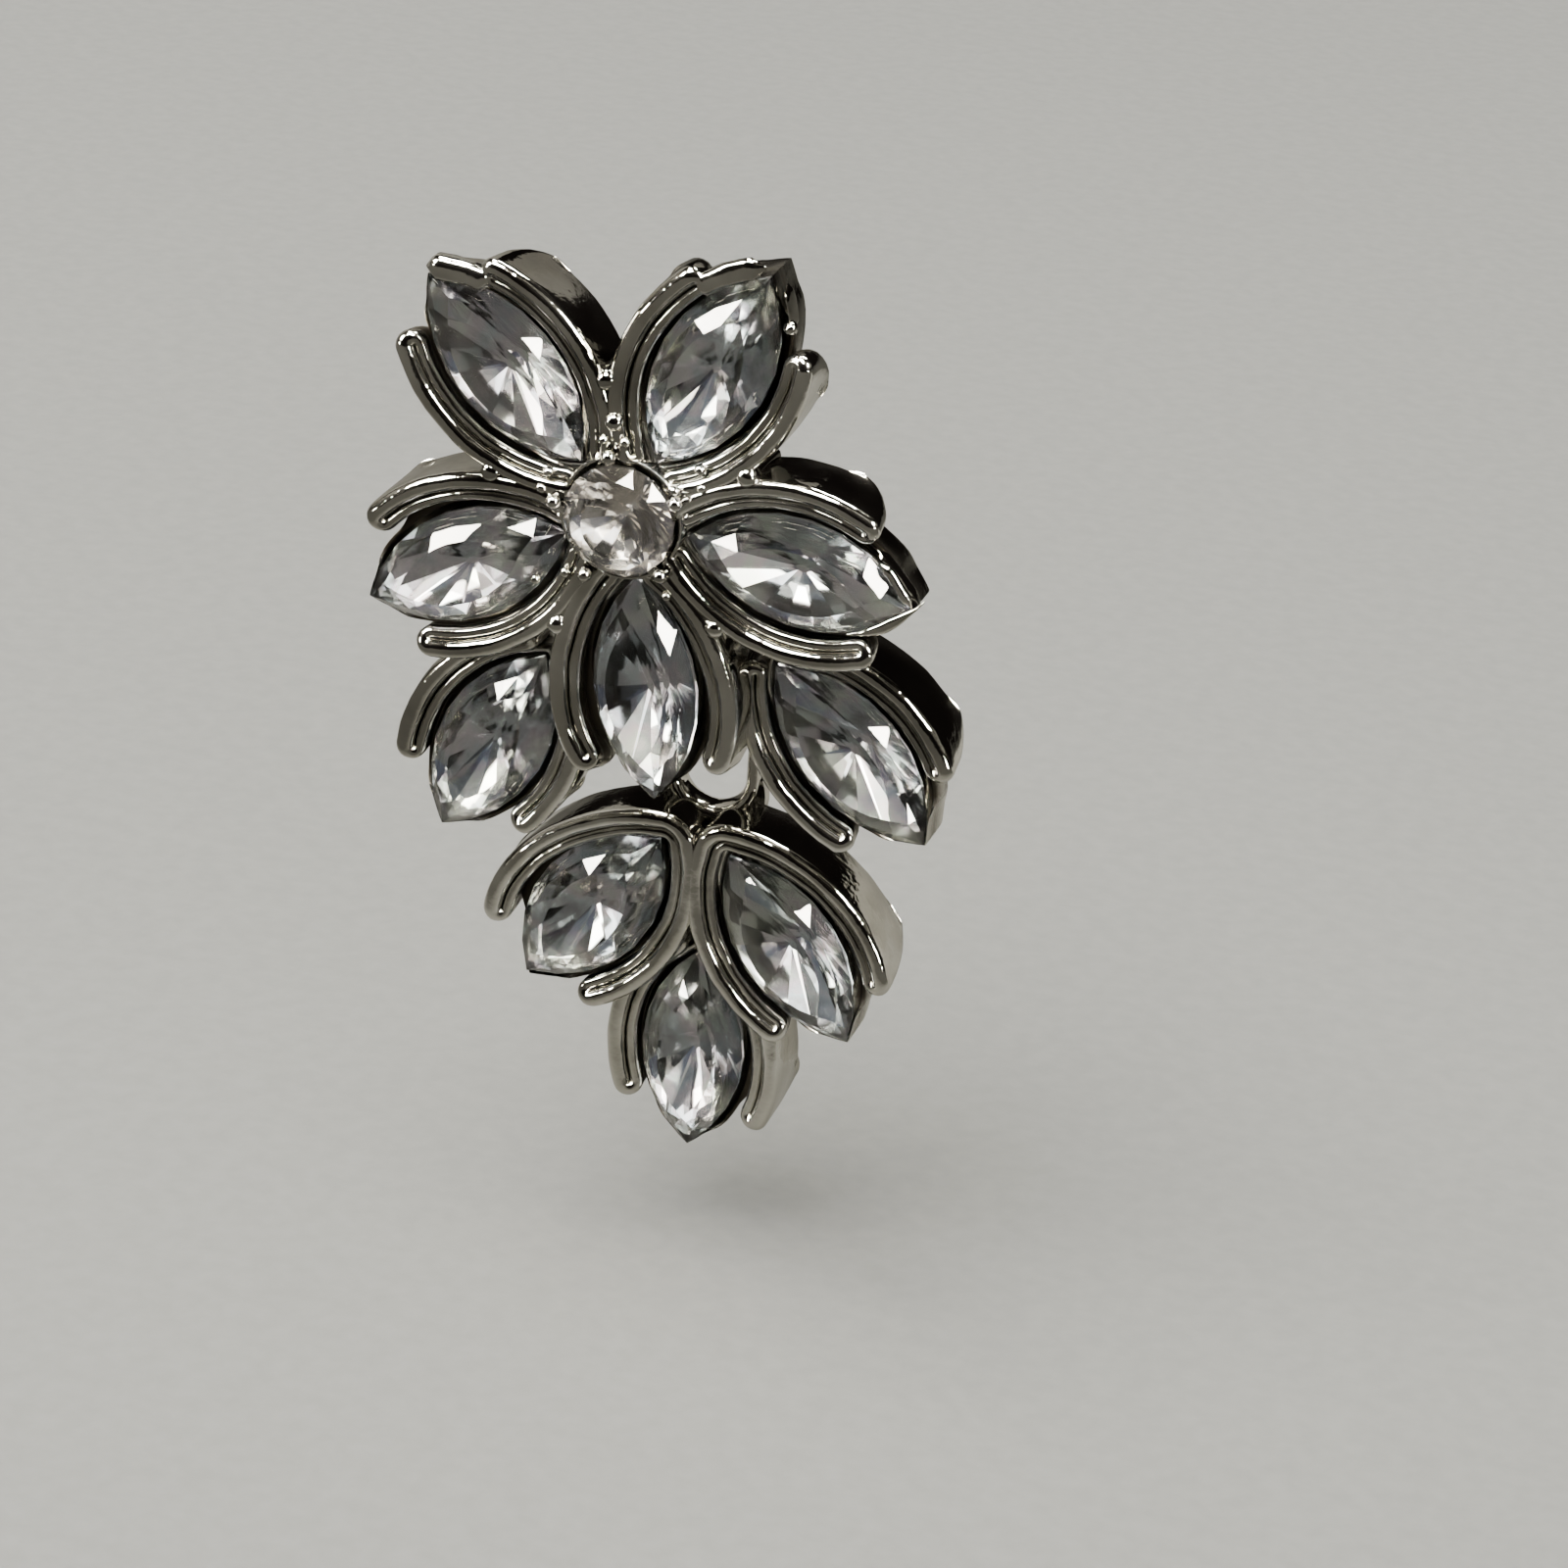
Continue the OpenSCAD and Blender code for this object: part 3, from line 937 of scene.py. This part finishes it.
def hangingPin(c):
    spot = Vector((*layout["pin"], 0))
    back = -layout["dropBack"] - c["gap"] - c["radius"]
    bend, ball = c["bend"], c["radius"] + c["swell"]
    beforeBend, afterBend, beforeBall = c["leads"]
    # (up, forward) along its middle
    path = [(0, z) for z in (*c["heights"], back + bend + beforeBend)]
    for a in turns(*c["bendArc"])[1:-1]:
        path.append((bend * (1 - math.cos(a)), back + bend * (1 - math.sin(a))))
    path += [(bend + afterBend, back), (c["hookLength"] - beforeBall, back)]
    radii = [c["radius"]] * len(path)
    for a in turns(*c["ballArc"]):
        path.append((c["hookLength"] + ball * math.sin(a), back))
        radii.append(ball * math.cos(a))
    return tube([spot + Vector((0, up, forward)) for up, forward in path], radii)


metalPiece("hangingPin", [hangingPin(pinShape)], "flower", 0.0)

eyeShape = {
    "radius": 1.45,
    "long": 1.82,                  # how much longer than wide
    "wall": 0.7,
    "thick": 1.1,
    "up": 0.9,                     # over the drop's centre
    "flare": 0.42,                 # its hole opens this much towards the front
    "flareArc": (90, -90, 6),
    "edge": 0.16,
    "soft": (0.04, 0.05),          # corners drawn in: outward at the back, elsewhere
    "hubRadius": 2.4,
    "hubThick": 0.55,
    "hubProud": 0.08,              # hub behind the petals' backs
    "hubInside": 0.3,              # hub's inner edge outside the hole
    "hubSteps": 32,
    "roughen": 0.01,
}


def dropEye(c):
    z = -layout["dropBack"]
    centre = (layout["dropCentre"][0], layout["dropCentre"][1] + c["up"])
    a, b, t, e = c["radius"], c["radius"] + c["wall"], c["thick"], c["edge"]
    backSoft, soft = c["soft"]
    rows = [(a + e, z), (b - e, z), (b - backSoft, z + soft), (b, z + e), (b, z + t - e),
            (b - soft, z + t - soft), (b - e, z + t)]
    for turn in turns(*c["flareArc"]):
        rows.append((a + c["flare"] * (1 - math.cos(turn)), z + e + (t - e) * math.sin(turn)))
    rows.append((a + soft, z + soft))
    # hub: the plate below the eye's hole, under the side stones' inner tips
    points, faces = [], []
    steps = c["hubSteps"]
    for outer, dz in ((False, -c["hubProud"]), (True, -c["hubProud"]), (True, c["hubThick"]),
                      (False, c["hubThick"])):
        for k in range(steps + 1):
            turn = math.pi * (1 + k / steps)
            way = Vector((math.cos(turn), math.sin(turn), 0))
            dot = -way.y * c["up"]
            edge = dot + math.sqrt(max(dot * dot - c["up"] ** 2 + c["hubRadius"] ** 2, 0))
            points.append(Vector((*centre, z + dz)) + way * (edge if outer else a + c["hubInside"]))
    for j in range(4):
        low, high = j * (steps + 1), (j + 1) % 4 * (steps + 1)
        faces += [(low + k, low + k + 1, high + k + 1, high + k) for k in range(steps)]
    faces += [tuple(j * (steps + 1) + k for j in range(4)) for k in (0, steps)]
    return [ringLathe(rows, centre, stretch=c["long"]), (points, faces)]


metalPiece("dropEye", dropEye(eyeShape), "drop", eyeShape["roughen"])


# stones: clear crown in front, foiled pavilion behind
def marquisePoint(t, long, wide, z):
    s = 1 if t % 360 < 180 else -1
    f = math.asin(stoneMiddle / arcRadius) * ((t % 180) / 90 - 1)
    return Vector((stoneMiddle + s * arcRadius * math.sin(f) * long,
                   s * (arcRadius * math.cos(f) - arcBeyond) * wide, z))


def roundPoint(t, long, wide, z):
    a = math.radians(t)
    r = roundCut["diameter"] / 2
    return Vector((-r * math.cos(a) * long, r * math.sin(a) * wide, z))


def stoneParts(pointAt, cut, girdle):
    # rows: (share of length, share of width, height, half steps turned, points) from the culet to the table
    under, sides = girdle - cut["girdleThick"], cut["sides"]
    rows = [(cut["culet"], cut["culet"], under - cut["pavilion"], 0, sides // 2),
            (1, 1, under, 0, sides), (1, 1, girdle, 0, sides)]
    for long, wide, rise, shift in cut["crownRows"]:
        rows.append((long, wide, girdle + cut["crown"] * rise, shift, sides))
    points, faces, kinds, rings = [], [], [], []
    for long, wide, z, shift, many in rows:
        rings.append(range(len(points), len(points) + many))
        points += [pointAt((k + shift) * 360 / many, long, wide, z) for k in range(many)]
    for r, (low, high) in enumerate(zip(rings, rings[1:])):
        turned = rows[r + 1][3] - rows[r][3]
        facets = []
        for k, a in enumerate(low):
            b, c, d = low[(k + 1) % len(low)], high[k], high[(k + 1) % len(high)]
            if len(high) > len(low):
                # twice as many points above: a kite's two halves and the facet between
                c, d, e = high[2 * k], high[2 * k + 1], high[(2 * k + 2) % len(high)]
                facets += [(a, d, c), (a, b, d), (b, e, d)]
            elif turned > 0:
                facets += [(a, b, c), (b, d, c)]
            elif turned < 0:
                facets += [(a, b, d), (a, d, c)]
            else:
                facets.append((a, b, d, c))
        faces += facets
        # foil on the pavilion, the first row of facets
        kinds += [0 if r else 1] * len(facets)
    return points, faces + [tuple(rings[-1]), tuple(reversed(rings[0]))], kinds + [0, 1]


def setStone(node, parts, place, body, backing):
    name = node.replace("_", "-") + "-cut"
    mesh = closedMesh(name, *parts)
    mesh.materials.append(glass)
    mesh.materials.append(backing)
    mesh.transform(standUp @ place)
    mesh.update()
    item = newObject(name, mesh)
    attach(item, body)
    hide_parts(node)


# no two stones are quite alike
# columns: degrees it tilts along and across, width against the others', mm to its left
stoneFit = {
    "petal_stone_3": (5, -4, 1, 0),
    "drop_stone_left": (0, 0, 1.1, -0.2),
}


def fitted(node, place):
    along, across, wide, aside = stoneFit.get(node, (0, 0, 1, 0))
    middle = Matrix.Translation((stoneMiddle, 0, stoneCut["girdle"]))
    tilt = Matrix.Rotation(math.radians(along), 4, "X") @ Matrix.Rotation(math.radians(across), 4, "Y")
    width = Matrix.Scale(wide, 4, Vector((0, 1, 0)))
    return place @ Matrix.Translation((0, aside, 0)) @ middle @ tilt @ width @ middle.inverted()


flowerNames = ["petal_stone_%d" % k for k in range(1, 6)] + ["mid_stone_right", "mid_stone_left"]
dropNames = ["drop_stone_right", "drop_stone_left", "drop_stone_tail"]
marquise = stoneParts(marquisePoint, stoneCut, stoneCut["girdle"])
for names, places, body in ((flowerNames, flowerPlaces, "flower"), (dropNames, dropPlaces, "drop")):
    for node, place in zip(names, places):
        setStone(node, marquise, fitted(node, place), body, foil)
flowerTurn = Matrix.Rotation(math.radians(layout["flowerTurn"]), 4, "Z")
setStone("centre_stone", stoneParts(roundPoint, roundCut, girdleTop), flowerTurn, "flower", warmFoil)
print("stones set")

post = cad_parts["ear_post"]
post.data.materials.clear()
post.data.materials.append(silver)


# floor and light; polished metal and stones find other tones there than the eye does
studio = {
    "floorDrop": 4.0,              # floor under the lowest point, mm
    "floorHalf": 3,                # metres
    "floorGrain": 900,
    "floorTones": ((0.3, (0.3906, 0.3906, 0.372)), (0.7, (0.42, 0.42, 0.4))),
    "floorRough": 0.8,
    "floorSeen": (0.28, 0.275, 0.25),   # what polished metal finds of it behind the piece
    "floorFar": (0.095, 0.092, 0.083),  # what polished metal finds of it further out
    "floorInStones": (0.134, 0.132, 0.127),    # what the stones find of it
    "paleMiddle": (0.01, 0.045),
    "paleSpan": (0.045, 0.08, 0, 1),    # metres from there
    # pale card round the piece: left, right, low, top in metres, and its shade
    "cardParts": ((-0.08, -0.0128, -0.012, 0.04, 0.35), (-0.005, 0.12, -0.0375, -0.0115, 1.0),
                  (-0.006, 0.0045, 0.016, 0.034, 0.2)),
    "cardBack": 0.022,
    "cardWeave": 120,
    "cardTones": ((0.3, (0.3, 0.29, 0.26)), (0.7, (0.46, 0.45, 0.41))),
    "cardRough": 0.9,
    "worldPale": (0.55, 0.55, 0.53),
    "roomDark": (0.012, 0.01, 0.009),
    # what the stones find of the room; columns: place in its shapes, colour
    "glints": ((0.44, (0.05, 0.05, 0.052)), (0.475, (0.1, 0.11, 0.16)), (0.52, (0.24, 0.24, 0.235)),
               (0.56, (1.5, 1.38, 1.2)), (0.6, (4.4, 4.4, 4.3))),
    "shapes": {"Scale": 1.7, "Detail": 3, "Roughness": 0.6, "Distortion": 0.6},
    "roomShift": (3.1, 0.4, 1.2),
    "roomTones": ((0.46, (0.012, 0.01, 0.009)), (0.56, (0.06, 0.056, 0.048)),
                  (0.68, (0.5, 0.48, 0.42))),
    "clothSpan": (0.25, 0.6, 0, 1),     # along +Y
    "frontSpan": (-0.35, -0.75, 0, 0.8),
    "lampTarget": (0.0, 0.0, -0.012),
    "lampColour": (1, 0.95, 0.84),
}


def notPolished(n, l):
    # 1 where the eye or a matt surface looks, 0 for what is seen in polished metal and stone
    rays = n.new("ShaderNodeLightPath").outputs
    return mathNode(n, l, "MAXIMUM", rays["Is Camera Ray"], rays["Is Diffuse Ray"])


def throughStone(n):
    return n.new("ShaderNodeLightPath").outputs["Is Transmission Ray"]


def makeFloor(c):
    z = cadLow.z - c["floorDrop"] * mm
    far = c["floorHalf"]
    corners = [(-far, -far, z), (far, -far, z), (far, far, z), (-far, far, z)]
    mesh = meshFrom("floor", corners, [(0, 1, 2, 3)])
    m, n, l, shader = newMaterial("paleFloor")
    tint = ramped(n, l, objectNoise(n, l, c["floorGrain"]), c["floorTones"])
    away = n.new("ShaderNodeVectorMath")
    away.operation = "DISTANCE"
    feed(l, away, {0: n.new("ShaderNodeTexCoord").outputs["Object"], 1: (*c["paleMiddle"], z)})
    further = mapped(n, l, away.outputs["Value"], c["paleSpan"])
    polished = mixColour(n, l, further, c["floorSeen"], c["floorFar"])
    polished = mixColour(n, l, throughStone(n), polished, c["floorInStones"])
    seen = mixColour(n, l, notPolished(n, l), polished, tint)
    feed(l, shader, {"Base Color": seen, "Roughness": c["floorRough"], "Specular IOR Level": 0})
    mesh.materials.append(m)
    item = newObject("floor", mesh)
    item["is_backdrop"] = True


def makeCard(c):
    # there only for what the metal mirrors
    y = c["cardBack"]
    points, faces, shades = [], [], []
    for left, right, low, top, shade in c["cardParts"]:
        first = len(points)
        points += [(left, y, low), (right, y, low), (right, y, top), (left, y, top)]
        faces.append(tuple(range(first, first + 4)))
        shades += [shade] * 4
    mesh = meshFrom("paleCard", points, faces)
    mesh.attributes.new("shade", "FLOAT", "POINT").data.foreach_set("value", shades)
    m, n, l, shader = newMaterial("paleCard")
    tint = ramped(n, l, objectNoise(n, l, c["cardWeave"]), c["cardTones"])
    colour = mixColour(n, l, attributeFactor(n, "shade"), c["roomDark"], tint)
    feed(l, shader, {"Base Color": colour, "Roughness": c["cardRough"]})
    mesh.materials.append(m)
    item = newObject("paleCard", mesh)
    item.visible_camera = False
    item.visible_shadow = False
    item.visible_diffuse = False
    item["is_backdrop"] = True


def makeWorld(c):
    world = bpy.data.worlds.new("studio")
    scene.world = world
    world.use_nodes = True
    n, l = world.node_tree.nodes, world.node_tree.links
    around = n.new("ShaderNodeTexCoord").outputs["Generated"]
    shift = n.new("ShaderNodeVectorMath")
    shift.operation = "ADD"
    feed(l, shift, {0: around, 1: c["roomShift"]})
    cloud = feed(l, n.new("ShaderNodeTexNoise"), {"Vector": shift.outputs[0], **c["shapes"]})
    shapes = cloud.outputs["Fac"]
    room = ramped(n, l, shapes, c["roomTones"])
    # black cloth behind and the unlit room in front, as polished surfaces see them
    depth = feed(l, n.new("ShaderNodeSeparateXYZ"), {0: around}).outputs["Y"]
    for span in (c["clothSpan"], c["frontSpan"]):
        room = mixColour(n, l, mapped(n, l, depth, span), room, c["roomDark"])
    polished = mixColour(n, l, throughStone(n), room, ramped(n, l, shapes, c["glints"]))
    seen = mixColour(n, l, notPolished(n, l), polished, c["worldPale"])
    l.new(seen, n["Background"].inputs["Color"])


def softLight(name, place, size, power, colour, seenIn):
    # seen in polished metal, in the stones or in both; one seen in neither lights the matt floor
    data = bpy.data.lights.new(name, "AREA")
    data.shape = "RECTANGLE"
    data.size, data.size_y = size
    data.energy = power
    data.color = colour
    item = newObject(name, data)
    item.visible_glossy = "metal" in seenIn
    item.visible_transmission = "stones" in seenIn
    item.visible_diffuse = not seenIn
    place = Vector(place)
    facing = (Vector(studio["lampTarget"]) - place).to_track_quat("-Z", "Y").to_matrix().to_4x4()
    item.matrix_world = Matrix.Translation(place) @ facing


makeFloor(studio)
makeCard(studio)
makeWorld(studio)
softLight("softTop", (-0.2, -0.3, 0.8), (0.7, 0.7), 10, (1, 0.98, 0.95), ())
metal, stones = ("metal",), ("stones",)
lamps = (
    # place, size, power, what mirrors it; those of metal stand a little behind those of the stones
    ((-0.102, -0.367, 0.653), (0.367, 0.225), 26, metal),
    ((-0.571, -0.367, 0.408), (0.225, 0.306), 21.5, metal),
    ((0.592, -0.245, 0.469), (0.194, 0.265), 19.5, metal),
    ((-0.10, -0.36, 0.64), (0.36, 0.13), 14.5, stones),
    ((-0.56, -0.36, 0.40), (0.14, 0.30), 12.5, stones),
    ((0.58, -0.24, 0.46), (0.11, 0.26), 11, stones),
    ((0.10, 0.26, 0.74), (0.26, 0.08), 6, metal + stones),
    ((-0.24, 0.1, 0.76), (0.14, 0.26), 7, metal + stones),
    ((-0.68, -0.42, 0.04), (0.08, 0.08), 1.6, metal + stones),
    ((0.74, -0.38, 0.06), (0.08, 0.08), 1.6, metal + stones),
)
for k, (place, size, power, seenIn) in enumerate(lamps):
    softLight("lamp%d" % (k + 1), place, size, power, studio["lampColour"], seenIn)
print("floor and light ready")

low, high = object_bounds()
